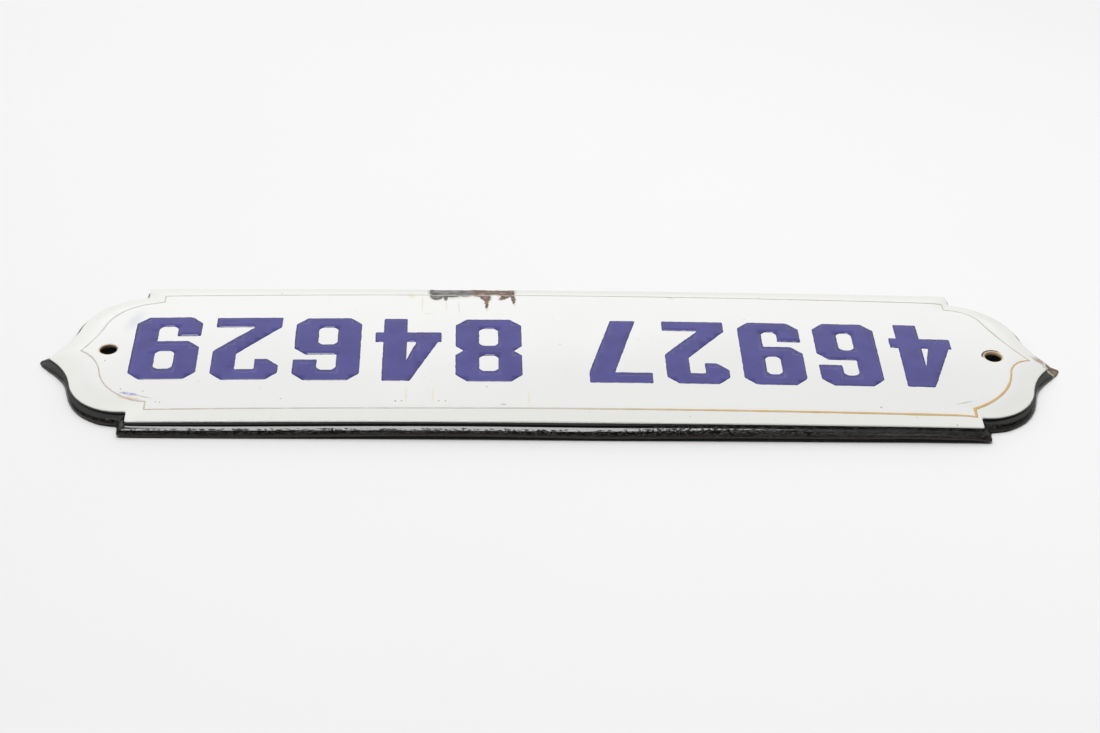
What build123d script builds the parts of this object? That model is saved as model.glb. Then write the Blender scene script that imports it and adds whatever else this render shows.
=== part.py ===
from build123d import *
from math import atan2, cos, degrees, radians, sin, sqrt
import os

# Door plaque pressed from one sheet of enamelled steel, face up, in millimetres.
# X runs along the plaque and Z out of its face. The origin is under the middle,
# at the height of the two cusps of the rim, which are its lowest points.

# Plan of the face, inside the flared rim
face_length = 298.2  # cusp to cusp
face_width = 70.0  # across the long sides

# The ends keep their shape at any width, so their sizes are shares of it
step_share = 0.0731  # step from the long side in to the end lobe
reach_share = 0.3729  # from the steps out to the cusp
lobe_share = 0.2693  # radius of the rounded part of each end lobe
hollow_share = 0.4314  # radius of the hollow part that runs out to the cusp
cusp_share = 0.0143  # radius of the cusp

# Sheet and section
sheet = 1.2  # steel with enamel on both sides
border_width = 4.8  # sloping border between the crown and the rim
side_flare = 2.6  # run of the rim outside the face along the long sides
lobe_flare = 2.4  # and round the end lobes
bend_break = 0.3  # blunted bend between border and rim
lip_break = 0.3  # bevel on the upper edge of the rim's lip
flare_angle = 35.0  # slope of the rim's outer part
waist_run_share = 0.12  # how far out and down the rim its short steep wall ends
waist_fall_share = 0.38
arc_lean = 0.25  # share of an arc's fall reached half-way from where the two arcs meet

# Heights of the face's edge over the cusps of the rim
face_mid = 5.4
face_shoulder = 4.4
face_lobe = 3.2
face_cusp = 2.0

# Heights of the rim's lower edge over its cusps
rim_mid = 1.4
rim_shoulder = 1.1
rim_lobe = 0.8

# Crown of the panel
crown_height = 7.3  # top of the face in the middle
bow_long = 2.34  # its fall from there towards a cusp
bow_cross = 0.78  # and towards a long side

# Fixing holes
hole_inset = 17.4  # from the cusp to the hole's middle
hole_diameter = 5.0
mouth_radius = 0.35

# How far the forms that shape the sheet run on past it, and those that cut them past that
overrun = 2.6
overrun_past = 2 * overrun

half_face = face_length / 2
half_width = face_width / 2
step_depth = face_width * step_share
lobe_radius = face_width * lobe_share
hollow_radius = face_width * hollow_share
cusp_round = face_width * cusp_share
half_shoulder = half_face - face_width * reach_share
lobe_centre = Vector(half_shoulder, half_width - step_depth - lobe_radius)
hole_x = half_face - hole_inset
crown_radius_long = (half_face**2 + bow_long**2) / (2 * bow_long)
crown_radius_cross = (half_width**2 + bow_cross**2) / (2 * bow_cross)

# The hollow arc touches the rounded one and the round of the cusp, so its centre lies
# as far from the centre of each as their radii add up to.
centre_gap = lobe_radius + hollow_radius
to_cusp = Vector(half_face - cusp_round, 0) - lobe_centre
along_cusp = (centre_gap**2 - (hollow_radius + cusp_round) ** 2 + to_cusp.length**2) / (2 * to_cusp.length)
off_cusp = sqrt(centre_gap**2 - along_cusp**2)
cusp_way = to_cusp.normalized()
to_hollow = cusp_way * along_cusp + cusp_way.rotate(Axis.Z, 90) * off_cusp
hollow_centre = lobe_centre + to_hollow
meeting_angle = atan2(to_hollow.Y, to_hollow.X)


def cusp_at(lobe_run):
    """Distance of the cusp from the middle, on the line lobe_run outside the face's edge."""
    gap = hollow_radius - lobe_run + cusp_round
    return hollow_centre.X - sqrt(gap**2 - hollow_centre.Y**2) + cusp_round


def contour(side_run, lobe_run, heights):
    """Closed line round the plaque, outside the face's edge by the runs given.

    The heights are those at the middle of the long sides, at the shoulders, where the
    two arcs of a lobe meet and at the cusps.
    """
    mid, shoulder, lobe, cusp = heights
    lobe_r = lobe_radius + lobe_run
    hollow_r = hollow_radius - lobe_run
    cusp_centre = Vector(cusp_at(lobe_run) - cusp_round, 0, cusp)
    cusp_angle = atan2(hollow_centre.Y, hollow_centre.X - cusp_centre.X)
    step_angle = atan2(sqrt(lobe_r**2 - side_run**2), side_run)

    def on_lobe(angle, z):
        return lobe_centre + Vector(cos(angle), sin(angle)) * lobe_r + Vector(0, 0, z)

    def on_hollow(angle, z):
        return hollow_centre - Vector(cos(angle), sin(angle)) * hollow_r + Vector(0, 0, z)

    def on_cusp(angle):
        return cusp_centre + Vector(cos(angle), sin(angle)) * cusp_round

    meeting = on_lobe(meeting_angle, lobe)
    hollow_mid = on_hollow((meeting_angle + cusp_angle) / 2, lobe + (cusp - lobe) * arc_lean)
    lobe_mid = on_lobe((meeting_angle + step_angle) / 2, lobe + (shoulder - lobe) * arc_lean)
    step_foot = on_lobe(step_angle, shoulder)
    x, y = half_shoulder + side_run, half_width + side_run
    with BuildLine() as line:
        ThreePointArc(on_cusp(0), on_cusp(cusp_angle / 2), on_cusp(cusp_angle))
        ThreePointArc(on_cusp(cusp_angle), hollow_mid, meeting)
        ThreePointArc(meeting, lobe_mid, step_foot)
        Line(step_foot, (x, y, shoulder))
        mirror(about=Plane.XZ)
        mirror(about=Plane.YZ)
        for side in (y, -y):
            Bezier((x, side, shoulder), (0, side, 2 * mid - shoulder), (-x, side, shoulder))
    return line.wires()[0]


def crown_at(x, y):
    """Height of the crowned panel's top."""
    fall_along = crown_radius_long - sqrt(crown_radius_long**2 - x**2)
    fall_across = crown_radius_cross - sqrt(crown_radius_cross**2 - y**2)
    return crown_height - fall_along - fall_across


def crowned_block(height):
    """Block under the panel, with a crowned top of the height given at the middle."""
    half_angle = degrees((half_face + overrun_past) / crown_radius_long)
    reach = half_width + overrun_past
    low = height - crown_radius_cross + sqrt(crown_radius_cross**2 - reach**2)
    base = -2 * overrun_past
    with BuildPart() as block:
        with BuildLine(Plane.XZ) as bow:
            CenterArc((0, height - crown_radius_long), crown_radius_long, 90 - half_angle, 2 * half_angle)
        with BuildSketch(Plane.YZ):
            with BuildLine():
                ThreePointArc((-reach, low), (0, height), (reach, low))
                Polyline((reach, low), (reach, base), (-reach, base), (-reach, low))
            make_face()
        sweep(path=bow.line)
    return block.part


# Section of a long side at its middle: the slope of each stretch, running outward
lip_drop = sheet * cos(radians(flare_angle))
rim_run = side_flare * waist_run_share
rim_fall = (face_mid - rim_mid - lip_drop) * waist_fall_share
border_fall = crown_at(0, half_width - border_width) - face_mid
border_way = Vector(border_width, -border_fall).normalized()
wall_way = Vector(rim_run, -rim_fall).normalized()
flare_way = Vector(1, 0).rotate(Axis.Z, -flare_angle)


def inward(above, below):
    """Step from a corner of the section to the same corner on the sheet's underside."""
    normal_above = above.rotate(Axis.Z, 90)
    normal_below = below.rotate(Axis.Z, 90)
    return (normal_above + normal_below) * (-sheet / (1 + normal_above.dot(normal_below)))


def formed_line(share, heights, step=Vector(0, 0)):
    """Contour a share of the way out over the rim, moved by a step of the section."""
    raised = [height + step.Y for height in heights]
    return contour(side_flare * share + step.X, lobe_flare * share + step.X, raised)


def between(high, low, share):
    """Heights a share of the way down from one set to another."""
    return [a + (b - a) * share for a, b in zip(high, low)]


face_heights = (face_mid, face_shoulder, face_lobe, face_cusp)
lip_heights = [height + lip_drop for height in (rim_mid, rim_shoulder, rim_lobe, 0)]
waist_heights = between(face_heights, lip_heights, waist_fall_share)

# Inner edge of the border, where it meets the crown, and its slope carried on past it
# by the sheet's thickness
inset = lobe_centre + to_hollow.normalized() * (lobe_radius - border_width)
crown_heights = (
    crown_at(0, half_width - border_width),
    crown_at(half_shoulder - border_width, half_width - border_width),
    crown_at(inset.X, inset.Y),
    crown_at(cusp_at(-border_width), 0),
)
ridge_heights = between(face_heights, crown_heights, 1 + sheet / border_width)
ridge_run = -border_width - sheet
above = 4 * [crown_height + overrun]
below = 4 * [-overrun]
far_below = 4 * [-overrun_past]

lip_in = inward(flare_way, flare_way)
lip_past = lip_in + flare_way * overrun
border_in = inward(border_way, border_way)


def border_line(heights, step=Vector(0, 0)):
    """Contour inside the border's inner edge, moved by a step of the section."""
    raised = [height + step.Y for height in heights]
    return contour(ridge_run + step.X, ridge_run + step.X, raised)


outside = Solid.make_loft(
    [
        border_line(above),
        border_line(ridge_heights),
        formed_line(0, face_heights, border_way * -bend_break),
        formed_line(0, face_heights, wall_way * bend_break),
        formed_line(waist_run_share, waist_heights),
        formed_line(1, lip_heights, flare_way * -lip_break),
        formed_line(1, lip_heights, lip_in * (lip_break / sheet)),
        formed_line(1, lip_heights, lip_in),
        formed_line(1, below, Vector(lip_in.X, 0)),
    ],
    ruled=True,
)
inside = Solid.make_loft(
    [
        border_line(above, Vector(border_in.X, 0)),
        border_line(ridge_heights, border_in),
        formed_line(0, face_heights, inward(border_way, wall_way)),
        formed_line(waist_run_share, waist_heights, inward(wall_way, flare_way)),
        formed_line(1, lip_heights, lip_past),
        formed_line(1, far_below, Vector(lip_past.X, 0)),
    ],
    ruled=True,
)

with BuildPart() as hollow:
    add(inside)
    add(crowned_block(crown_height - sheet), mode=Mode.INTERSECT)

with BuildPart() as plaque:
    add(outside)
    add(crowned_block(crown_height), mode=Mode.INTERSECT)
    add(hollow.part, mode=Mode.SUBTRACT)

    # Punched fixing holes, with the mouth rounded over by the enamel
    with Locations((-hole_x, 0, crown_height), (hole_x, 0, crown_height)):
        Hole(hole_diameter / 2)
    fillet(plaque.edges(Select.LAST).sort_by(Axis.Z)[-2:], mouth_radius)

    # The cusps are flat underneath where the plaque stands on them
    with BuildSketch(Plane.XY):
        Rectangle(2 * face_length, 2 * face_width)
    extrude(amount=-overrun, mode=Mode.SUBTRACT)

os.makedirs("parts", exist_ok=True)
plaque.part.label = "plaque"
export_step(plaque.part, "parts/plaque.step")
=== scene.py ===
"""Door plaque of enamelled steel: its fired finishes, its print and the table it lies on."""
import logging
import math
from dataclasses import dataclass, field
from enum import Enum

import bpy
import numpy as np
from mathutils import Matrix, Vector
from mathutils.bvhtree import BVHTree
from mathutils.geometry import delaunay_2d_cdt


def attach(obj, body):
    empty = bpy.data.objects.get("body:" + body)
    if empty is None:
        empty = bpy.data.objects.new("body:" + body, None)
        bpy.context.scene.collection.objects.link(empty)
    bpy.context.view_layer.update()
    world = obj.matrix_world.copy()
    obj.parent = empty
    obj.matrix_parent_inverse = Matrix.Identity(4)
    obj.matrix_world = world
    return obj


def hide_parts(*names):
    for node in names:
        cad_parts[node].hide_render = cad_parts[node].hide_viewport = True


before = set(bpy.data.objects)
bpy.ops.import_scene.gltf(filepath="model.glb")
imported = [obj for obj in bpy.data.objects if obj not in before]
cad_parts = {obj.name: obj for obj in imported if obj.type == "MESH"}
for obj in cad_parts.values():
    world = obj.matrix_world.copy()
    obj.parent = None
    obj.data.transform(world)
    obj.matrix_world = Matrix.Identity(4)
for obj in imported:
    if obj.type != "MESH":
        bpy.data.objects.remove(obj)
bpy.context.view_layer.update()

log = logging.getLogger("plaque")

MM = 0.001
BODY = "root"
NODE = "plaque"

Colour = tuple[float, float, float, float]
Curve = tuple[tuple[float, ...], tuple[float, ...]]
Rows = tuple[tuple[float, ...], ...]
Faces = list[tuple[int, ...]]


def fired(red: int, green: int, blue: int) -> Colour:
    """Turns a colour as a screen shows it into the light it stands for.

    Args:
        red: Red, 0 to 255.
        green: Green, 0 to 255.
        blue: Blue, 0 to 255.

    Returns:
        The linear colour with full alpha.
    """
    parts = []
    for part in (red, green, blue):
        share = part / 255
        parts.append(share / 12.92 if share <= 0.04045 else ((share + 0.055) / 1.055) ** 2.4)
    return (*parts, 1.0)


class Wire:
    """A shader socket that can be used in Python expressions."""

    def __init__(self, tree: "Shader", socket: bpy.types.NodeSocket) -> None:
        """Wraps one output socket of a tree."""
        self.tree = tree
        self.socket = socket

    def _math(self, operation: str, *others: object) -> "Wire":
        """Adds one Math node that takes this value and then the others."""
        values = dict(enumerate((self, *others)))
        return self.tree.node("ShaderNodeMath", {"operation": operation}, values)

    def __add__(self, other: object) -> "Wire":
        """self + other."""
        return self._math("ADD", other)

    def __radd__(self, other: object) -> "Wire":
        """other + self."""
        return self._math("ADD", other)

    def __sub__(self, other: object) -> "Wire":
        """self - other."""
        return self._math("SUBTRACT", other)

    def __rsub__(self, other: float) -> "Wire":
        """other - self."""
        return self.tree.node("ShaderNodeMath", {"operation": "SUBTRACT"}, {0: other, 1: self})

    def __mul__(self, other: object) -> "Wire":
        """self * other."""
        return self._math("MULTIPLY", other)

    def __rmul__(self, other: object) -> "Wire":
        """other * self."""
        return self._math("MULTIPLY", other)

    def largest(self, other: object) -> "Wire":
        """The larger of the two values."""
        return self._math("MAXIMUM", other)

    def least(self, other: object) -> "Wire":
        """The smaller of the two values."""
        return self._math("MINIMUM", other)

    def size(self) -> "Wire":
        """The value without its sign."""
        return self._math("ABSOLUTE")

    def root(self) -> "Wire":
        """The square root."""
        return self._math("SQRT")

    def rise(self, low: float, high: float) -> "Wire":
        """A smooth step.

        Args:
            low: Where the step begins, with the value 0.
            high: Where it ends, with the value 1. It may be below low.

        Returns:
            The step's value.
        """
        if high < low:
            return 1 - self.rise(high, low)
        values = {"Value": self, "From Min": low, "From Max": high}
        return self.tree.node("ShaderNodeMapRange", {"interpolation_type": "SMOOTHSTEP"}, values)


class Shader:
    """The nodes of a material or of the room's light, built from expressions."""

    def __init__(self, owner: bpy.types.ID) -> None:
        """Starts with no nodes.

        Args:
            owner: The material or the world.
        """
        owner.use_nodes = True
        self.owner = owner
        self.nodes = owner.node_tree.nodes
        self.links = owner.node_tree.links
        self.nodes.clear()

    def node(
        self, kind: str, settings: dict[str, object], values: dict[object, object], out: object = None
    ) -> Wire:
        """Adds any node.

        Args:
            kind: The node's type.
            settings: Its own settings, set before its sockets.
            values: A value or a Wire for each socket, by its name or number.
            out: Name or number of the output, or the first that is in use.

        Returns:
            The chosen output.
        """
        made = self.nodes.new(kind)
        for key, value in settings.items():
            setattr(made, key, value)
        for key, value in values.items():
            if isinstance(value, Wire):
                self.links.new(value.socket, made.inputs[key])
            else:
                made.inputs[key].default_value = value
        if out is None:
            return Wire(self, next((socket for socket in made.outputs if socket.enabled), None))
        return Wire(self, made.outputs[out])

    def vector(self, operation: str, values: dict[object, object], out: object = 0) -> Wire:
        """Adds one Vector Math node."""
        return self.node("ShaderNodeVectorMath", {"operation": operation}, values, out)

    def place(self) -> Wire:
        """Where a point of the object is, in millimetres."""
        return self.vector("SCALE", {0: self.node("ShaderNodeTexCoord", {}, {}, "Object"), "Scale": 1 / MM})

    def bumped(self, height: Wire) -> Wire:
        """The normal over a relief whose height is in millimetres."""
        return self.node("ShaderNodeBump", {}, {"Strength": 1.0, "Distance": MM, "Height": height}, 0)

    def axes(self, place: Wire) -> tuple[Wire, Wire, Wire]:
        """X, Y and Z of a place."""
        split = self.node("ShaderNodeSeparateXYZ", {}, {0: place}, 0)
        return tuple(Wire(self, output) for output in split.socket.node.outputs)

    def moved(self, place: Wire, shift: Wire, share: float) -> Wire:
        """A place pushed about by a noise's colour, by a share in millimetres."""
        middle = self.vector("SUBTRACT", {0: shift, 1: (0.5, 0.5, 0.5)})
        return self.vector("ADD", {0: place, 1: self.vector("SCALE", {0: middle, "Scale": share})})

    def stretched(self, place: Wire, by: tuple[float, float, float]) -> Wire:
        """A place with each axis scaled by its factor."""
        return self.vector("MULTIPLY", {0: place, 1: by})

    def noise(
        self, place: Wire, scale: float, detail: float = 2.0, rough: float = 0.5, out: int = 0
    ) -> Wire:
        """Cloudy noise round a half: its value, or its colour where out is 1. The scale is in
        clouds to a millimetre, the detail in octaves."""
        values = {"Vector": place, "Scale": scale, "Detail": detail, "Roughness": rough}
        return self.node("ShaderNodeTexNoise", {}, values, out)

    def blend(self, share: object, first: object, second: object) -> Wire:
        """Mixes two colours, with the share that the second one has."""
        return self.node("ShaderNodeMix", {"data_type": "RGBA"}, {0: share, 6: first, 7: second}, 2)

    def stored(self, name: str) -> Wire:
        """A number that the mesh carries at its points."""
        return self.node("ShaderNodeAttribute", {"attribute_name": name}, {}, "Fac")

    def finish(self, values: dict[object, object]) -> bpy.types.Material:
        """Adds the surface and the output.

        Args:
            values: What feeds the sockets of the surface.

        Returns:
            The material.
        """
        surface = self.node("ShaderNodeBsdfPrincipled", {}, values, 0)
        self.node("ShaderNodeOutputMaterial", {}, {"Surface": surface})
        return self.owner


def graded(length: float, fine: float, coarse: float, ends: tuple[bool, bool]) -> np.ndarray:
    """Shares of the way along a stretch, closer together at chosen ends.

    Args:
        length: The stretch's length.
        fine: Spacing beside a chosen end.
        coarse: Spacing elsewhere.
        ends: Whether the start and the end are chosen.

    Returns:
        The shares, from 0 to 1.
    """
    reach, samples = 2.4, 4001
    dense = np.linspace(0, length, samples)
    step = np.full_like(dense, coarse)
    for chosen, far in zip(ends, (dense, length - dense)):
        if chosen:
            step = np.minimum(step, fine + (coarse - fine) * np.clip(far / reach, 0, 1))
    count = np.concatenate([[0], np.cumsum(np.diff(dense) / step[:-1])])
    wanted = np.linspace(0, count[-1], max(4, int(round(count[-1])) + 1))
    return np.interp(wanted, count, dense) / length


def smooth_path(knots: np.ndarray, spans: int) -> np.ndarray:
    """A smooth line through its knots.

    Args:
        knots: The knots, one row each.
        spans: Steps between two knots.

    Returns:
        The points of the line, with the knots among them.
    """
    padded = np.vstack([2 * knots[0] - knots[1], knots, 2 * knots[-1] - knots[-2]])
    made = []
    for k in range(1, len(padded) - 2):
        before, start, end, after = padded[k - 1], padded[k], padded[k + 1], padded[k + 2]
        for u in np.arange(spans) / spans:
            bend = 2 * before - 5 * start + 4 * end - after
            twist = 3 * start - before - 3 * end + after
            made.append(0.5 * (2 * start + (end - before) * u + bend * u**2 + twist * u**3))
    made.append(knots[-1])
    return np.array(made)


def hollow_way(
    middle: np.ndarray, lobe: float, hollow: float, end: np.ndarray, end_round: float
) -> np.ndarray:
    """Way from the middle of a lobe's arc to that of the hollow arc which touches it.

    Args:
        middle: Middle of the lobe's arc.
        lobe: Its radius.
        hollow: Radius of the hollow arc.
        end: Middle of the round at the hollow arc's other end.
        end_round: Radius of that round, or 0 for a sharp end.

    Returns:
        The way, in X and Y.
    """
    run = end - middle
    far = np.hypot(*run)
    gap = lobe + hollow
    along = (gap**2 - (hollow + end_round) ** 2 + far**2) / (2 * far)
    off = math.sqrt(gap**2 - along**2)
    way = run / far
    return way * along + np.array([-way[1], way[0]]) * off


def arc(middle: np.ndarray, radius: float, angles: np.ndarray) -> np.ndarray:
    """X and Y of points on an arc. A radius below 0 puts them on its far side."""
    return middle + radius * np.column_stack([np.cos(angles), np.sin(angles)])


@dataclass(frozen=True)
class Levels:
    """Heights or widths along one line round the plaque, in millimetres: middle of a long
    side, shoulder, where the two arcs of a lobe meet, and cusp."""

    middle: float
    shoulder: float
    lobe: float
    cusp: float


@dataclass
class Outline:
    """Plan of the plaque: long sides, stepped shoulders and ogee ends, in millimetres.

    The curves give the share of the whole flare that the rim has along each stretch, by the
    way along it from the cusp: as a share of the stretch, or in millimetres for the side."""

    length: float = 298.2
    width: float = 70.0
    step: float = 5.117
    reach: float = 26.103
    lobe: float = 18.851
    hollow: float = 30.198
    cusp_round: float = 1.001
    fine: float = 0.26
    coarse: float = 0.62
    corner_rounds: int = 5
    corner_reach: float = 1.3
    corner_pull: float = 0.8
    inside_rounds: float = 6.0
    inside_reach: float = 0.6
    front_hollow: Curve = ((0.0, 0.1, 0.3, 0.75, 1.0), (1.0, 1.25, 1.25, 0.6, 0.5))
    front_lobe: Curve = ((0.0, 0.12, 0.5, 0.8, 1.0), (0.5, 0.55, 1.1, 1.3, 1.15))
    front_step: Curve = ((0.0, 0.6, 1.0), (1.15, 1.0, 1.0))
    back_hollow: Curve = ((0.0, 0.12, 1.0), (1.0, 0.6, 0.6))
    back_dip: float = 0.5
    back_lobe: Curve = ((0.0, 0.8, 1.0), (0.6, 0.6, 0.45))
    back_step: float = 0.45
    back_side: Curve = ((0.0, 14.0), (0.45, 1.0))

    def __post_init__(self) -> None:
        """Works out the arcs of an end and the stations along a quarter."""
        half = self.length / 2
        self.shoulder_x = half - self.reach
        self.lobe_mid = np.array([self.shoulder_x, self.width / 2 - self.step - self.lobe])
        end = np.array([half - self.cusp_round, 0.0])
        self.to_hollow = hollow_way(self.lobe_mid, self.lobe, self.hollow, end, self.cusp_round)
        self.hollow_mid = self.lobe_mid + self.to_hollow
        self.meeting = math.atan2(self.to_hollow[1], self.to_hollow[0])
        cusp = math.atan2(self.hollow_mid[1], self.hollow_mid[0] - half + self.cusp_round)
        self.parts = (
            np.linspace(0, 1, 6),
            graded(self.hollow * (cusp - self.meeting), self.fine, self.coarse, (True, False)),
            graded(self.lobe * (math.pi / 2 - self.meeting), self.fine, self.coarse, (False, True)),
            graded(self.step, self.fine, self.coarse, (True, True)),
            graded(self.shoulder_x, self.fine, self.coarse, (True, False)),
        )
        self.edge = self.ring(0.0, 0.0)
        self.corners = self._corners()
        self.spread = self._spread()

    def _joined(self, pieces: list[np.ndarray]) -> np.ndarray:
        """Joins the stretches of a quarter, leaving out repeated points."""
        return np.concatenate([pieces[0]] + [piece[1:] for piece in pieces[1:]])

    def _mirrored(self, back: np.ndarray, front: np.ndarray) -> np.ndarray:
        """Carries the numbers of a quarter at the back and at the front round the plaque."""
        half_back = np.concatenate([back, back[-2::-1]])
        half_front = np.concatenate([front, front[-2::-1]])
        return np.concatenate([half_back, half_front[1:-1]])

    def _corners(self) -> list[int]:
        """Stations of both corners of each step."""
        ends = np.cumsum([len(part) - 1 for part in self.parts])
        marks, quarter = [int(ends[2]), int(ends[3])], int(ends[4])
        half = marks + [2 * quarter - k for k in marks]
        return sorted(half + [4 * quarter - k for k in half])

    def _spread(self) -> np.ndarray:
        """Share of the whole flare that the rim has at each station: less in the hollows of
        the ends, and less at the back, where it is pressed steeper."""
        cusp, hollow, lobe, step, side = self.parts
        front = [
            np.ones_like(cusp),
            np.interp(hollow, *self.front_hollow),
            np.interp(lobe, *self.front_lobe),
            np.interp(step, *self.front_step),
            np.ones_like(side),
        ]
        dip = 1 - self.back_dip * np.sin(np.pi * hollow) ** 1.5
        back = [
            np.ones_like(cusp),
            np.interp(hollow, *self.back_hollow) * dip,
            np.interp(lobe, *self.back_lobe),
            np.full_like(step, self.back_step),
            np.interp(side * self.shoulder_x, *self.back_side),
        ]
        return self._mirrored(self._joined(back), self._joined(front))

    def cusp_x(self, run: float) -> float:
        """Where a line that far outside the face's edge crosses the middle, in X."""
        gap = self.hollow - run + self.cusp_round
        return self.hollow_mid[0] - math.sqrt(gap**2 - self.hollow_mid[1] ** 2) + self.cusp_round

    def ring(self, side_run: float, lobe_run: float) -> np.ndarray:
        """The line round the plaque at some distance outside the face's edge.

        Args:
            side_run: Distance along the long sides and the steps.
            lobe_run: Distance round the end lobes.

        Returns:
            X and Y of each station, anticlockwise from the cusp at +X.
        """
        lobe_r, hollow_r = self.lobe + lobe_run, self.hollow - lobe_run
        cusp_mid = self.cusp_x(lobe_run) - self.cusp_round
        cusp = math.atan2(self.hollow_mid[1], self.hollow_mid[0] - cusp_mid)
        foot = math.atan2(math.sqrt(lobe_r**2 - side_run**2), side_run)
        meeting, along = self.meeting, self.parts
        x, y = self.shoulder_x + side_run, self.width / 2 + side_run
        foot_y = self.lobe_mid[1] + lobe_r * math.sin(foot)
        quarter = self._joined(
            [
                arc(np.array([cusp_mid, 0.0]), self.cusp_round, cusp * along[0]),
                arc(self.hollow_mid, -hollow_r, cusp + (meeting - cusp) * along[1]),
                arc(self.lobe_mid, lobe_r, meeting + (foot - meeting) * along[2]),
                np.column_stack([np.full_like(along[3], x), foot_y + (y - foot_y) * along[3]]),
                np.column_stack([x * (1 - along[4]), np.full_like(along[4], y)]),
            ]
        )
        half = np.vstack([quarter, quarter[-2::-1] * [-1, 1]])
        return np.vstack([half, half[-2:0:-1] * [1, -1]])

    def flared(self, side_run: float, lobe_run: float) -> np.ndarray:
        """A line over the rim, drawn in where the rim spreads less.

        Args:
            side_run: Distance outside the face's edge along the long sides.
            lobe_run: The same round the end lobes.

        Returns:
            X and Y of each station.
        """
        ring = self.ring(side_run, lobe_run)
        if side_run > 0:
            ring = self.edge + (ring - self.edge) * self.spread[:, None]
        return self.softened(ring, max(-lobe_run, 0.0))

    def heights(self, levels: Levels) -> np.ndarray:
        """Heights at the stations.

        Args:
            levels: The heights at the named places.

        Returns:
            The height of each station.
        """
        cusp, hollow, lobe, step, side = self.parts
        fall = levels.cusp - levels.lobe
        rise = levels.shoulder - levels.lobe
        bow = levels.middle - levels.shoulder
        quarter = self._joined(
            [
                np.full_like(cusp, levels.cusp),
                levels.lobe + fall * (1 - hollow) ** 2,
                levels.lobe + rise * lobe**2,
                np.full_like(step, levels.shoulder),
                levels.shoulder + bow * (1 - (1 - side) ** 2),
            ]
        )
        return self._mirrored(quarter, quarter)

    def softened(self, ring: np.ndarray, inside: float) -> np.ndarray:
        """Rounds the corners of a ring a little, as a press and enamel leave them.

        Args:
            ring: X and Y of each station.
            inside: Distance inside the face's edge, where the corners are rounder.

        Returns:
            The ring with rounder corners.
        """
        steps = np.hypot(*(np.roll(self.edge, -1, 0) - self.edge).T)
        run = np.cumsum(steps) - steps[0]
        share = np.zeros(len(ring))
        reach = self.corner_reach + inside * self.inside_reach
        for corner in self.corners:
            away = np.abs(run - run[corner])
            away = np.minimum(away, steps.sum() - away)
            share = np.maximum(share, np.clip(1 - away / reach, 0, 1))
        made = ring.copy()
        for _ in range(self.corner_rounds + round(inside * self.inside_rounds)):
            middle = (np.roll(made, 1, 0) + np.roll(made, -1, 0)) / 2
            made += (middle - made) * (self.corner_pull * share)[:, None]
        return made


class Wear(Enum):
    """What a worn place shows."""

    STEEL = "bare dark steel"
    RUST = "brown rust"
    STAIN = "yellow stain"
    BLUE = "blue smear"
    GREY = "faint grey stain"
    SPECK = "dark speck"
    TINGE = "orange tinge"
    SMEAR = "pinkish smear"
    PALE = "pale yellowish blob"


@dataclass(frozen=True)
class Mark:
    """One worn place on the face: an ellipse whose border breaks up, in millimetres."""

    kind: Wear
    x: float
    y: float
    half_x: float
    half_y: float
    turn: float = 0.0


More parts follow.
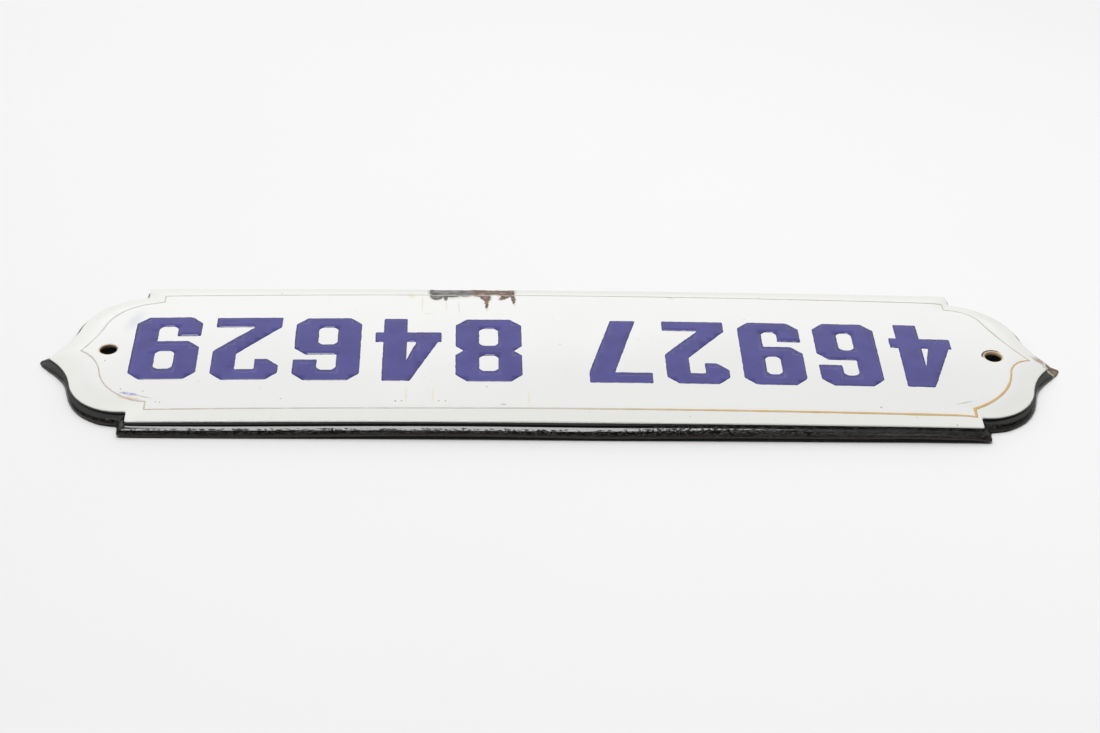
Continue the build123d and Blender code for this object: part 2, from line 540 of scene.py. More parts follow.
MARKS = (
    # The chip at the back edge: bare steel, then rust with runs below it
    Mark(Wear.STEEL, -34.6, 32.4, 3.0, 4.4),
    Mark(Wear.STEEL, -30.6, 32.9, 4.6, 4.6),
    Mark(Wear.STEEL, -26.6, 32.8, 3.4, 4.0),
    Mark(Wear.STEEL, -35.2, 29.2, 2.0, 2.5),
    Mark(Wear.STEEL, -32.4, 28.8, 0.7, 2.4),
    Mark(Wear.RUST, -22.0, 32.2, 3.6, 3.4),
    Mark(Wear.RUST, -18.6, 33.2, 3.0, 3.0),
    Mark(Wear.RUST, -14.6, 33.0, 3.4, 3.6),
    Mark(Wear.RUST, -20.4, 29.4, 1.7, 3.4, 14),
    Mark(Wear.RUST, -13.6, 29.8, 1.2, 3.6, -38),
    Mark(Wear.RUST, -11.8, 28.6, 0.6, 4.2, 4),
    Mark(Wear.RUST, -19.9, 24.6, 0.5, 2.8),
    Mark(Wear.STAIN, -42.9, 29.4, 1.5, 2.4, 15),
    Mark(Wear.STAIN, -39.5, 24.6, 0.4, 6.4),
    Mark(Wear.STAIN, -37.4, 18.6, 2.2, 0.5),
    Mark(Wear.STAIN, -32.2, 23.4, 0.4, 4.0, 3),
    Mark(Wear.STAIN, -19.8, 22.6, 0.6, 4.2),
    Mark(Wear.GREY, -28.3, 22.4, 0.5, 5.6, 5),
    # Stains and the blue smear near the front edge
    Mark(Wear.STAIN, -43.4, -24.6, 0.5, 5.2),
    Mark(Wear.STAIN, -35.6, -24.6, 0.4, 5.2),
    Mark(Wear.STAIN, -7.9, -25.4, 0.4, 4.4),
    Mark(Wear.TINGE, -122.4, -25.0, 4.4, 0.8, -16),
    Mark(Wear.BLUE, -123.2, -22.8, 3.6, 0.8, -16),
    Mark(Wear.BLUE, -122.6, -23.4, 1.5, 1.1),
    Mark(Wear.GREY, -125.6, 15.6, 3.2, 8.4, -18),
    # The chip on the cusp at +X, and the smear that runs in from it
    Mark(Wear.SMEAR, 147.0, 1.8, 4.4, 2.7, -27),
    Mark(Wear.PALE, 147.9, -1.3, 1.6, 1.0, -25),
    Mark(Wear.RUST, 150.2, -0.2, 2.2, 3.3, 12),
    Mark(Wear.RUST, 148.0, 2.5, 1.2, 0.45, -32),
    # Specks, pits and hairlines
    Mark(Wear.SPECK, -132.0, -5.9, 0.28, 0.34),
    Mark(Wear.SPECK, -125.7, -20.5, 0.24, 0.3),
    Mark(Wear.SPECK, -119.2, -21.6, 0.28, 0.34),
    Mark(Wear.SPECK, -115.0, -27.0, 0.26, 0.36),
    Mark(Wear.SPECK, -113.8, -27.1, 0.22, 0.3),
    Mark(Wear.SPECK, -79.2, -25.9, 0.2, 0.3),
    Mark(Wear.SPECK, -82.6, 31.0, 0.24, 0.3),
    Mark(Wear.SPECK, -46.4, -27.2, 0.34, 0.3),
    Mark(Wear.SPECK, -44.6, -27.2, 0.3, 0.3),
    Mark(Wear.SPECK, -33.9, -27.2, 0.34, 0.3),
    Mark(Wear.SPECK, -32.0, -27.2, 0.3, 0.3),
    Mark(Wear.SPECK, -20.1, -20.2, 0.36, 0.36),
    Mark(Wear.SPECK, -15.4, -28.7, 1.1, 0.2),
    Mark(Wear.SPECK, 94.0, -27.6, 0.3, 0.5),
    Mark(Wear.SPECK, 115.2, -34.4, 0.26, 0.3),
    Mark(Wear.SPECK, 36.4, 29.3, 1.8, 0.12, -22),
)


@dataclass(frozen=True)
class EnamelFinish:
    """White vitreous enamel with a black rim, chipped to steel and rust."""

    white: Colour = fired(240, 240, 238)
    # Greyer white, for random patches and for the painted shade towards the front
    tone_and_front_shade: Colour = fired(229, 229, 227)
    margin: Colour = fired(231, 232, 225)
    black: Colour = fired(15, 15, 12)
    brown_lip: Colour = fired(46, 36, 30)
    steel: Colour = fired(76, 74, 72)
    steel_pale: Colour = fired(160, 158, 154)
    rust: Colour = fired(132, 108, 96)
    rust_dark: Colour = fired(56, 44, 38)
    rust_bright: Colour = fired(140, 118, 84)
    rust_pink: Colour = fired(168, 146, 138)
    undercoat: Colour = fired(206, 204, 192)
    stain: Colour = fired(224, 206, 160)
    tan: Colour = fired(220, 190, 150)
    blue: Colour = fired(110, 116, 190)
    tinge: Colour = fired(222, 170, 120)
    grey: Colour = fired(206, 210, 222)
    ground: Colour = fired(40, 42, 50)
    ground_fleck: Colour = fired(92, 96, 104)
    hole_x: float = 131.7
    hole_radius: float = 2.5
    black_from: float = 0.38
    black_full: float = 0.50
    gloss: float = 0.1
    ior: float = 1.46

    def field(self, shader: Shader, place: Wire, kind: Wear) -> Wire:
        """How deep a place lies inside the marks of one kind.

        Args:
            shader: The material.
            place: The point, in millimetres.
            kind: Which marks.

        Returns:
            1 in a mark's middle, 0 at its border and less outside.
        """
        found = None
        for mark in (mark for mark in MARKS if mark.kind is kind):
            moved = shader.vector("SUBTRACT", {0: place, 1: (mark.x, mark.y, 0)})
            turn = {"Vector": moved, "Angle": -math.radians(mark.turn)}
            turned = shader.node("ShaderNodeVectorRotate", {"rotation_type": "Z_AXIS"}, turn)
            scaled = shader.stretched(turned, (1 / mark.half_x, 1 / mark.half_y, 0))
            inside = 1 - shader.vector("LENGTH", {0: scaled}, "Value")
            found = inside if found is None else found.largest(inside)
        return found

    def make(self) -> bpy.types.Material:
        """Builds the plate's material.

        Returns:
            The material.
        """
        shader = Shader(bpy.data.materials.new("fired_enamel"))
        place = shader.place()
        x, y, z = shader.axes(place)
        rim = shader.stored("rim")
        coarse = shader.noise(place, 0.03, 2)
        cloud = shader.noise(place, 0.35, 4, 0.6)
        fine = shader.noise(place, 2.6, 3, 0.6)
        ragged = shader.moved(place, shader.noise(place, 0.9, 4, 0.65, 1), 1.6)
        jagged = shader.moved(place, shader.noise(place, 2.2, 3, 0.6, 1), 0.7)

        # White, greyer in random places and, as painted shade, darker towards the front; warmer towards the
        # rim
        colour = shader.blend((coarse * 0.5 + 0.25 - y * 0.012).rise(0.2, 0.8), self.white, self.tone_and_front_shade)
        colour = shader.blend(rim.rise(-6.0, -1.0) * 0.7, colour, self.margin)
        for kind, spot, low, high, share, tint in (
            (Wear.GREY, ragged, 0.0, 0.9, 0.5, self.grey),
            (Wear.STAIN, jagged, -0.1, 0.8, 0.42, self.stain),
            (Wear.BLUE, ragged, 0.0, 0.7, cloud.rise(0.4, 0.56) * 0.75, self.blue),
            (Wear.TINGE, ragged, -0.2, 0.7, 0.55, self.tinge),
            (Wear.SMEAR, ragged, 0.0, 0.5, cloud.rise(0.3, 0.6), self.rust_pink),
            (Wear.PALE, jagged, 0.0, 0.25, 1.0, self.undercoat),
            (Wear.SPECK, place, 0.0, 0.4, fine.rise(0.3, 0.5) * 0.75, self.rust_dark),
        ):
            colour = shader.blend(self.field(shader, spot, kind).rise(low, high) * share, colour, tint)
        pepper = shader.noise(place, 0.9, 1, 0.3).rise(0.80, 0.84)
        colour = shader.blend(pepper * 0.5, colour, self.rust)

        # Black rim, browner and pitted on its lip, with its own rough border
        edge = rim + (fine - 0.5) * 0.16 + (cloud - 0.5) * 0.16
        black = edge.rise(self.black_from, self.black_full)
        lip = (rim + (cloud - 0.5) * 1.4).rise(3.2, 4.0)
        dark = shader.blend(lip * fine.rise(0.42, 0.62), self.black, self.brown_lip)
        colour = shader.blend(black, colour, dark)

        # Chips: pale undercoat round bare steel and rust
        steel_field = self.field(shader, jagged, Wear.STEEL)
        rust_field = self.field(shader, ragged, Wear.RUST)
        both = steel_field.largest(rust_field)
        halo = both.rise(-0.34, -0.04)
        colour = shader.blend(halo * 0.75, colour, self.undercoat)
        bare = both.rise(-0.02, 0.1)
        brushed = shader.noise(shader.stretched(place, (0.35, 3.2, 1)), 1.0, 3)
        grey = shader.blend(brushed.rise(0.4, 0.62), self.steel, self.steel_pale)
        brown = shader.blend((cloud * 0.6 + fine * 0.4).rise(0.42, 0.58), self.rust_dark, self.rust)
        brown = shader.blend(cloud.rise(0.52, 0.7), brown, self.rust_bright)
        brown = shader.blend(cloud.rise(0.5, 0.36) * 0.8, brown, self.rust_pink)
        rusty = (rust_field - steel_field + (cloud - 0.5) * 1.4).rise(-0.05, 0.12)
        metal = shader.blend(rusty, grey, brown)
        colour = shader.blend(bare, colour, metal)

        # Tan halo round the two holes, rust over the far lip of one, and rust on their walls, painted darker
        # deeper down as painted shade
        beside = x.size() - self.hole_x
        past = (beside * beside + y * y).root() + (fine - 0.5) * 0.3 - self.hole_radius
        right = x.rise(0.0, 1.0)
        back = (y * 0.9 - beside * 0.5).rise(0.2, 2.2)
        tan = past.rise(0.75, 0.3) * (0.6 + right * 0.35)
        colour = shader.blend(tan, colour, self.tan)
        lip_rust = past.rise(1.15, 0.9) * past.rise(0.4, 0.55) * right * back
        wall = past.rise(0.16, 0.02)
        # Painted shade: each wall goes from tan at its top to dark rust deeper down
        wall_tan_over_shade = (z + (fine - 0.5) * 1.2 + right * 0.3).rise(4.3, 5.1) * (0.45 + right * 0.55)
        wall_rust_and_shade = shader.blend(wall_tan_over_shade, self.rust_dark, self.tan)
        mottled = shader.blend(fine.rise(0.35, 0.65), self.rust_dark, self.rust)
        colour = shader.blend(lip_rust, colour, mottled)
        colour = shader.blend(wall, colour, wall_rust_and_shade)
        worn_ring = wall.largest(lip_rust)

        # Ground coat underneath, with rust where the steel shows
        under = shader.stored("under")
        fleck = shader.blend(shader.noise(place, 1.4, 2).rise(0.6, 0.72), self.ground, self.ground_fleck)
        patch = shader.noise(place, 0.06, 5, 0.7).rise(0.6, 0.68)
        below = shader.blend(patch, fleck, brown)
        colour = shader.blend(under, colour, below)

        raw = bare.largest(worn_ring).largest(patch * under)
        rough = self.gloss + lip * black * 0.3 + raw * 0.5 + under * 0.12 + (coarse - 0.5) * 0.06

        # Relief: chips lie below the enamel, the lip is pitted, more so at +X
        crumbled = (x.rise(14.0, 44.0) + (rim + (cloud - 0.5) * 0.9).rise(2.2, 2.7)) * y.rise(-30.0, -33.0)
        pitted = black * (1 - under) * (lip * 0.55 + crumbled * 0.9).least(1.0)
        pits = shader.noise(shader.stretched(place, (0.8, 1.6, 1.6)), 1.1, 3, 0.7).rise(0.5, 0.68)
        relief = raw * (fine * 0.12 - 0.16) + halo * -0.03 + pits * pitted * 0.09
        relief = relief + shader.noise(place, 0.16, 1) * 0.016 + black * (cloud - 0.5) * 0.02
        metallic = bare * (1 - rusty) * 0.45
        looks = {"Base Color": colour, "Roughness": rough, "Metallic": metallic, "IOR": self.ior}
        return shader.finish({**looks, "Normal": shader.bumped(relief)})


@dataclass(frozen=True)
class PrintFinish:
    """Indigo enamel fired over the white through a stencil."""

    indigo: Colour = fired(66, 62, 138)
    deep: Colour = fired(58, 54, 128)
    pale: Colour = fired(196, 196, 220)

    def make(self) -> bpy.types.Material:
        """Builds the print's material.

        Returns:
            The material.
        """
        shader = Shader(bpy.data.materials.new("indigo_print"))
        place = shader.place()
        cloud = shader.noise(place, 0.12, 3)
        fine = shader.noise(place, 1.3, 3, 0.6)
        colour = shader.blend(cloud.rise(0.35, 0.65), self.indigo, self.deep)
        rubbed = shader.noise(place, 0.7, 3, 0.6).rise(0.74, 0.82)
        colour = shader.blend(rubbed * 0.5, colour, self.pale)
        looks = {"Base Color": colour, "Roughness": 0.2 + fine * 0.06, "IOR": 1.52}
        return shader.finish({**looks, "Normal": shader.bumped(fine * 0.006)})


@dataclass(frozen=True)
class LineFinish:
    """Ochre line, clear at the front right and worn to grey elsewhere."""

    ochre: Colour = fired(212, 176, 108)
    tan: Colour = fired(196, 176, 150)
    grey: Colour = fired(204, 202, 198)
    white: Colour = fired(226, 227, 222)

    def make(self) -> bpy.types.Material:
        """Builds the line's material.

        Returns:
            The material.
        """
        shader = Shader(bpy.data.materials.new("ochre_line"))
        place = shader.place()
        x, y, _ = shader.axes(place)
        cloud = shader.noise(place, 0.2, 4, 0.65)
        fine = shader.noise(place, 1.8, 3, 0.6)
        gold = (x + (cloud - 0.5) * 60).rise(-30.0, 60.0) * (1 - y.rise(1.0, 8.0) * 0.75)
        tan = (x + (cloud - 0.5) * 60).rise(-60.0, -122.0) * y.rise(10.0, -10.0)
        colour = shader.blend(tan * 0.7, self.grey, self.tan)
        colour = shader.blend(gold, colour, self.ochre)
        worn = (cloud + (fine - 0.5) * 0.5).rise(0.5, 0.68) * (1 - gold * 0.65)
        colour = shader.blend(worn * 0.6, colour, self.white)
        return shader.finish({"Base Color": colour, "Roughness": 0.3 + fine * 0.1, "IOR": 1.5})


@dataclass(frozen=True)
class TableFinish:
    """White studio table, painted darker towards the front and the left as painted shade."""

    # near is the table's white darkened as painted shade, towards the front
    near: Colour = fired(230, 230, 230)
    far: Colour = fired(253, 253, 253)

    def make(self) -> bpy.types.Material:
        """Builds the table's material.

        Returns:
            The material.
        """
        shader = Shader(bpy.data.materials.new("white_table"))
        place = shader.place()
        x, y, _ = shader.axes(place)
        soft = shader.noise(place, 0.01, 2)
        # Painted shade: the white darkens from far to near and from right to left
        share = (y + x * 0.43 + (soft - 0.5) * 40).rise(-330.0, 330.0)
        colour = shader.blend(share, self.near, self.far)
        looks = {"Base Color": colour, "Roughness": 0.9 + soft * 0.05, "Specular IOR Level": 0.1}
        return shader.finish(looks)


def make_mesh(
    name: str, points: np.ndarray, faces: Faces, material: bpy.types.Material, smooth: int = -1
) -> bpy.types.Object:
    """Makes an object from points in millimetres.

    Args:
        name: The object's name.
        points: X, Y and Z of each point, in millimetres.
        faces: The corners of each face.
        material: Its material.
        smooth: How many of the faces, from the first, are shaded smooth, or -1 for all.

    Returns:
        The object, linked to the scene.
    """
    mesh = bpy.data.meshes.new(name)
    mesh.from_pydata((np.asarray(points) * MM).tolist(), [], faces)
    mesh.polygons.foreach_set("use_smooth", [smooth < 0 or k < smooth for k in range(len(faces))])
    mesh.materials.append(material)
    mesh.update()
    made = bpy.data.objects.new(name, mesh)
    bpy.context.scene.collection.objects.link(made)
    return made


def keep_number(made: bpy.types.Object, name: str, values: np.ndarray) -> None:
    """Stores a number at each point of a mesh, for its material."""
    store = made.data.attributes.new(name, "FLOAT", "POINT")
    store.data.foreach_set("value", np.asarray(values, np.float32))


def triangulated(points: np.ndarray, edges: Faces) -> tuple[np.ndarray, Faces, list[int]]:
    """Fills a plan with triangles that keep its lines.

    Args:
        points: X and Y of each point.
        edges: Pairs of points that a line joins.

    Returns:
        The points, the triangles, and for each given point its number among them.
    """
    made = delaunay_2d_cdt([Vector(p) for p in points.tolist()], edges, [], 1, 1e-5, True)
    where = [-1] * len(points)
    for k, sources in enumerate(made[3]):
        for source in sources:
            where[source] = k
    return np.array([tuple(p) for p in made[0]]), [tuple(face) for face in made[2]], where


def loop_edges(first: int, count: int) -> Faces:
    """Edges of a closed loop of points that are numbered in order."""
    return [(first + k, first + (k + 1) % count) for k in range(count)]


def band(first: list[int], second: list[int]) -> Faces:
    """Faces between two closed rows of points, given by their numbers."""
    after = [*range(1, len(first)), 0]
    return [(first[k], first[j], second[j], second[k]) for k, j in enumerate(after)]


def covers(shape: np.ndarray, spots: np.ndarray) -> np.ndarray:
    """Which points lie inside a closed shape.

    Args:
        shape: The corners.
        spots: X and Y of each point.

    Returns:
        True for the points inside.
    """
    inside = np.zeros(len(spots), bool)
    for a, b in zip(shape, np.roll(shape, -1, 0)):
        if a[1] == b[1]:
            continue
        straddles = (a[1] > spots[:, 1]) != (b[1] > spots[:, 1])
        at = (b[0] - a[0]) * (spots[:, 1] - a[1]) / (b[1] - a[1]) + a[0]
        inside ^= straddles & (spots[:, 0] < at)
    return inside


class Gathered:
    """The points and faces of a mesh while it is put together."""

    def __init__(self) -> None:
        """Starts empty."""
        self.points: list[np.ndarray] = []
        self.rims: list[np.ndarray] = []
        self.unders: list[np.ndarray] = []
        self.faces: Faces = []
        self.count = 0

    def add(self, points: np.ndarray, rim: float, under: float) -> list[int]:
        """Adds points.

        Args:
            points: X, Y and Z of each point.
            rim: How far out over the rim they lie.
            under: 1 on the underside and 0 on the upper side.

        Returns:
            The points' numbers.
        """
        self.points.append(points)
        self.rims.append(np.full(len(points), rim))
        self.unders.append(np.full(len(points), under))
        self.count += len(points)
        return list(range(self.count - len(points), self.count))


@dataclass
class Plate:
    """The pressed sheet with its enamel: crowned panel, sloping border, flared rim, holes.

    Each sag of the near lip has its middle in X, its reach and its depth. The share of it
    that a point takes goes by how far out over the rim the point lies."""

    outline: Outline = field(default_factory=Outline)
    finish: EnamelFinish = field(default_factory=EnamelFinish)
    sheet: float = 1.2
    face: Levels = Levels(5.4, 4.4, 3.2, 2.3)
    lip: Levels = Levels(1.4, 1.1, 0.8, 0.0)
    lip_thick: float = 1.0
    nose_thick: float = 0.5
    side_flare: float = 2.42
    lobe_flare: float = 2.2
    crown: float = 7.3
    bow_long: float = 2.34
    bow_cross: float = 0.78
    droop: float = 2.6
    droop_from: float = 134.5
    borders: Levels = Levels(4.8, 4.8, 6.2, 6.2)
    blend_run: float = 1.6
    inner: float = 8.0
    grid: float = 1.7
    hole_x: float = 131.7
    hole_radius: float = 2.5
    mouth: float = 0.45
    hole_sides: int = 56
    hole_wobble: Rows = ((3, 0.012), (7, 0.008))
    collar: float = 0.9
    chip_depth: float = 0.2
    chip_slope: float = 0.3
    border_steps: float = 0.8
    border_last: float = 1.2
    rim_starts: float = 0.45
    under_rings: tuple[float, ...] = (2.4, 3.6, 4.8, 6.2, 8.0)
    under_rim: float = 12.0
    hollow_from: float = 6.0
    hollow_fade: float = 40.0
    hollow_side: float = 20.0
    section_start: Rows = ((-0.18, -0.037, 0.0), (0.0, 0.02, 0.0), (0.055, 0.13, 0.0))
    section_even: Rows = ((0.10, 0.34), (0.23, 0.49), (0.50, 0.643), (0.76, 0.795), (0.94, 0.94))
    section_hollow: Rows = ((0.10, 0.28), (0.26, 0.47), (0.44, 0.575), (0.66, 0.735), (0.86, 0.90))
    section_lip: Rows = ((1.0, 1.0, 0.34), (0.93, 1.0, 0.84), (0.78, 1.0, 1.0))
    section_back: Rows = ((0.35, 0.70, 1.1), (-0.15, 0.05, 1.2), (-0.50, -0.05, 1.2))
    section_spans: int = 3
    hole_wall: Rows = ((0.0, 0.8), (0.04, 1.08), (0.2, 1.2))
    hole_clear: float = 1.6
    edge_clear: float = 0.7
    sags: Rows = ((14.0, 26.0, 0.6), (103.0, 12.0, -0.3), (-104.0, 42.0, 1.1))
    sag_side: Curve = ((-34.0, -30.0), (1.0, 0.0))
    sag_lobe_y: Curve = ((-14.0, -4.0), (1.0, 0.0))
    sag_lobe_x: Curve = ((120.0, 125.0), (0.0, 1.0))
    lobe_sag: float = 0.6
    sag_share: Curve = ((0.3, 1.2, 3.1, 3.7), (0.0, 0.45, 0.45, 1.0))
    lowest: float = 0.02

    def __post_init__(self) -> None:
        """Works out the crown's two radii and the levels round the edge."""
        half_length, half_width = self.outline.length / 2, self.outline.width / 2
        self.radius_long = (half_length**2 + self.bow_long**2) / (2 * self.bow_long)
        self.radius_cross = (half_width**2 + self.bow_cross**2) / (2 * self.bow_cross)
        way = self.outline.to_hollow / np.hypot(*self.outline.to_hollow)
        inset = self.outline.lobe_mid + way * (self.outline.lobe - self.borders.lobe)
        half_x, half_y = self.outline.shoulder_x - self.borders.shoulder, half_width - self.borders.middle
        crest = Levels(
            float(self.crown_at(0.0, half_y)),
            float(self.crown_at(half_x, half_y)),
            float(self.crown_at(*inset)),
            float(self.crown_at(self.outline.cusp_x(-self.borders.cusp), 0.0)),
        )
        self.turns = np.arange(self.hole_sides) * 2 * math.pi / self.hole_sides
        self.circle = arc(np.zeros(2), 1.0, self.turns)
        self.face_z = self.outline.heights(self.face)
        self.lip_z = self.outline.heights(self.lip)
        self.slope = (self.outline.heights(crest) - self.face_z) / self.outline.heights(self.borders)

    def crown_at(self, x: np.ndarray, y: np.ndarray) -> np.ndarray:
        """Height of the crowned panel's top, which droops towards both cusps."""
        along = self.radius_long - np.sqrt(self.radius_long**2 - np.square(x))
        across = self.radius_cross - np.sqrt(self.radius_cross**2 - np.square(y))
        past = np.clip(np.abs(x) - self.droop_from, 0, None) / (self.outline.length / 2 - self.droop_from)
        return self.crown - along - across - self.droop * past**2

    def top_at(self, ring: np.ndarray, inside: float) -> np.ndarray:
        """Height of the top inside the face's edge, where crown and border run together.

        Args:
            ring: X and Y of each station.
            inside: Distance inside the face's edge.

        Returns:
            The height at each station.
        """
        border = self.face_z + self.slope * inside
        crown = self.crown_at(ring[:, 0], ring[:, 1])
        blend = self.slope * self.blend_run
        near = np.clip(0.5 + (crown - border) / (2 * blend), 0, 1)
        return crown * (1 - near) + border * near - blend * near * (1 - near)

    def section(self, hollowed: bool) -> np.ndarray:
        """Section of the rim, from inside the face's edge, round the lip and back under the
        border: share of the flare, share of the upper side's fall, and depth below it.

        Args:
            hollowed: Whether it is the more hollow section of the near right side.

        Returns:
            One row for each line round the rim.
        """
        middle = self.section_hollow if hollowed else self.section_even
        knots = [*self.section_start, *((*knot, 0.0) for knot in middle)]
        return smooth_path(np.array([*knots, *self.section_lip, *self.section_back]), self.section_spans)

    def relief(self, x: np.ndarray, y: np.ndarray) -> np.ndarray:
        """How far the enamel's loss lowers the face.

        Args:
            x: X of each point.
            y: Y of each point.

        Returns:
            The depth at each point.
        """
        deep = np.zeros(len(x))
        for mark in MARKS:
            if mark.kind not in (Wear.STEEL, Wear.RUST):
                continue
            turn = math.radians(mark.turn)
            along = (x - mark.x) * math.cos(turn) + (y - mark.y) * math.sin(turn)
            across = (y - mark.y) * math.cos(turn) - (x - mark.x) * math.sin(turn)
            inside = 1 - np.hypot(along / mark.half_x, across / mark.half_y)
            deep = np.maximum(deep, np.clip(inside / self.chip_slope, 0, 1))
        return deep * self.chip_depth

    def sag(self, x: np.ndarray, y: np.ndarray) -> np.ndarray:
        """How far the lip of the near long side hangs below its even line, in places.

        Args:
            x: X of each point.
            y: Y of each point.

        Returns:
            The depth at each point.
        """
        front = np.interp(y, *self.sag_side)
        lobes = np.interp(y, *self.sag_lobe_y) * np.interp(np.abs(x), *self.sag_lobe_x)
        deep = np.zeros(len(x))
        for middle, reach, depth in self.sags:
            deep += depth * np.exp(-(((x - middle) / reach) ** 2))
        return deep * front * (1 - lobes) + lobes * self.lobe_sag

    def rings(self, mesh: Gathered) -> list[list[int]]:
        """Adds all lines round the plate, from inside the border, over the rim and back.

        Args:
            mesh: What they are added to.

        Returns:
            The numbers of each line's points.
        """
        out = self.outline
        rows = []
        thick = out.heights(Levels(self.lip_thick, self.lip_thick, self.lip_thick, self.nose_thick))
        upper_fall = self.face_z - self.lip_z - thick
        middle_fall = self.face.middle - self.lip.middle - self.lip_thick
        border = np.arange(self.inner, self.border_last, -self.border_steps)
        for inside in [*border, self.border_last, self.border_steps]:
            ring = out.flared(-inside, -inside)
            rows.append(mesh.add(np.column_stack([ring, self.top_at(ring, inside)]), -inside, 0.0))
        path, other = self.section(False), self.section(True)
        falls = path[:, 1] * middle_fall + path[:, 2]
        legs = np.hypot(np.diff(path[:, 0]) * self.side_flare, np.diff(falls))
        runs = np.concatenate([[0], np.cumsum(legs)]) - self.rim_starts
        nose = int(np.argmax(falls))
        right = np.clip((out.edge[:, 0] - self.hollow_from) / self.hollow_fade, 0, 1)
        hollowed = right * np.clip(-out.edge[:, 1] - self.hollow_side, 0, 1)
        for k, (share, fall, depth) in enumerate(path):
            ring = out.flared(share * self.side_flare, share * self.lobe_flare)
            ring_other = out.flared(other[k, 0] * self.side_flare, other[k, 0] * self.lobe_flare)
            ring = ring + (ring_other - ring) * hollowed[:, None]
            z = self.face_z - upper_fall * (fall + (other[k, 1] - fall) * hollowed) - depth
            if share < 0:
                z = self.top_at(ring, -share * self.side_flare) - depth - self.lowest
            rows.append(mesh.add(np.column_stack([ring, z]), runs[k], float(k > nose)))
        for inside in self.under_rings:
            ring = out.flared(-inside, -inside)
            z = self.top_at(ring, inside) - self.sheet
            rows.append(mesh.add(np.column_stack([ring, z]), self.under_rim, 1.0))
        return rows

    def hole_lines(self, count: int) -> list[tuple[float, float]]:
        """Radius and depth of the lines down a hole, from the panel's top to its underside.

        Args:
            count: Lines over the mouth's round.

        Returns:
            The radii and depths.
        """
        rows = []
        for k in range(1, count + 1):
            angle = math.pi / 2 * k / count
            across, down = 1 - math.sin(angle), 1 - math.cos(angle)
            rows.append((self.hole_radius + self.mouth * across, self.mouth * down))
        return rows + [(self.hole_radius + wider, depth) for wider, depth in self.hole_wall]

    def panel(self, mesh: Gathered, rows: list[list[int]]) -> list[tuple[list[int], list[int]]]:
        """Fills both sides of the panel inside the border, round its two holes.

        Args:
            mesh: What the panel is added to.
            rows: The numbers of each line's points, from rings.

        Returns:
            For each hole, the numbers of the points round it above and below.
        """
        edge = mesh.points[0][:, :2]
        wide = self.hole_radius + self.mouth
        loops = [edge]
        for side in (-1, 1):
            for radius in (wide, wide + self.collar):
                loops.append(self.circle * radius + [side * self.hole_x, 0])
        starts = np.cumsum([0] + [len(loop) for loop in loops])
        edges = [pair for start, loop in zip(starts.tolist(), loops) for pair in loop_edges(start, len(loop))]
        flat, triangles, where = triangulated(np.vstack([*loops, self.filling(edge)]), edges)
        middles = flat[np.array(triangles)].mean(1)
        away = np.hypot(np.abs(middles[:, 0]) - self.hole_x, middles[:, 1])
        triangles = [face for face, clear in zip(triangles, away > wide * 0.98) if clear]
        top = np.column_stack([flat, self.crown_at(flat[:, 0], flat[:, 1])])
        upper = mesh.add(top, -self.inner, 0.0)
        lower = mesh.add(top - [0, 0, self.sheet], self.under_rim, 1.0)
        for k in range(len(edge)):
            upper[where[k]] = rows[0][k]
            lower[where[k]] = rows[-1][k]
        mesh.faces += [tuple(upper[k] for k in face) for face in triangles]
        mesh.faces += [tuple(lower[k] for k in reversed(face)) for face in triangles]
        rounds = [where[start : start + self.hole_sides] for start in (starts[1], starts[3])]
        return [([upper[k] for k in spots], [lower[k] for k in spots]) for spots in rounds]

    def hole(self, mesh: Gathered, side: int, above: list[int], below: list[int]) -> None:
        """Adds a hole's rounded mouth and its wall.

        Args:
            mesh: What they are added to.
            side: -1 for the hole at -X and 1 for the one at +X.
            above: The points round it on the upper side.
            below: The points round it on the underside.
        """
        (few, wide), (many, narrow) = self.hole_wobble
        wobble = 1 + wide * np.sin(few * self.turns + side) + narrow * np.sin(many * self.turns)
        for radius, depth in self.hole_lines(4):
            spot = self.circle * (radius * wobble)[:, None] + [side * self.hole_x, 0]
            z = self.crown_at(spot[:, 0], spot[:, 1]) - depth
            row = mesh.add(np.column_stack([spot, z]), -self.inner, 0.0)
            mesh.faces += band(above, row)
            above = row
        mesh.faces += band(above, below)

    def build(self) -> bpy.types.Object:
        """Builds and dresses the plate.

        Returns:
            The plate.
        """
        mesh = Gathered()
        rows = self.rings(mesh)
        after = [*range(1, len(rows[0])), 0]
        for first, second in zip(rows, rows[1:]):
            mesh.faces += [(first[k], second[k], second[j], first[j]) for k, j in enumerate(after)]
        for side, (above, below) in zip((-1, 1), self.panel(mesh, rows)):
            self.hole(mesh, side, above, below)
        points, rim, under = (np.concatenate(part) for part in (mesh.points, mesh.rims, mesh.unders))
        low = under > 0.5
        x, y = points[:, 0], points[:, 1]
        points[:, 2] -= np.where(low, 0, self.relief(x, y))
        points[:, 2] -= self.sag(x, y) * np.where(low, 1, np.interp(rim, *self.sag_share))
        points[:, 2] = np.maximum(points[:, 2], self.lowest)
        made = make_mesh("enamelled_plate", points, mesh.faces, self.finish.make())
        keep_number(made, "rim", rim)
        keep_number(made, "under", under)
        return made

    def filling(self, edge: np.ndarray) -> np.ndarray:
        """Points spread over the panel, clear of its edge and of the holes.

        Args:
            edge: X and Y of the line round the panel.

        Returns:
            X and Y of each point.
        """
        half_x, half_y = np.abs(edge).max(0)
        rows = np.arange(-half_y, half_y, self.grid * math.sqrt(3) / 2)
        spots = []
        for k, y in enumerate(rows):
            xs = np.arange(-half_x, half_x, self.grid) + (k % 2) * self.grid / 2
            spots.append(np.column_stack([xs, np.full_like(xs, y)]))
        spots = np.vstack(spots)
        clear = self.hole_radius + self.mouth + self.hole_clear
        spots = spots[np.hypot(np.abs(spots[:, 0]) - self.hole_x, spots[:, 1]) > clear]
        nearest = np.full(len(spots), np.inf)
        for corner in edge:
            nearest = np.minimum(nearest, np.hypot(*(spots - corner).T))
        return spots[covers(edge, spots) & (nearest > self.edge_clear)]


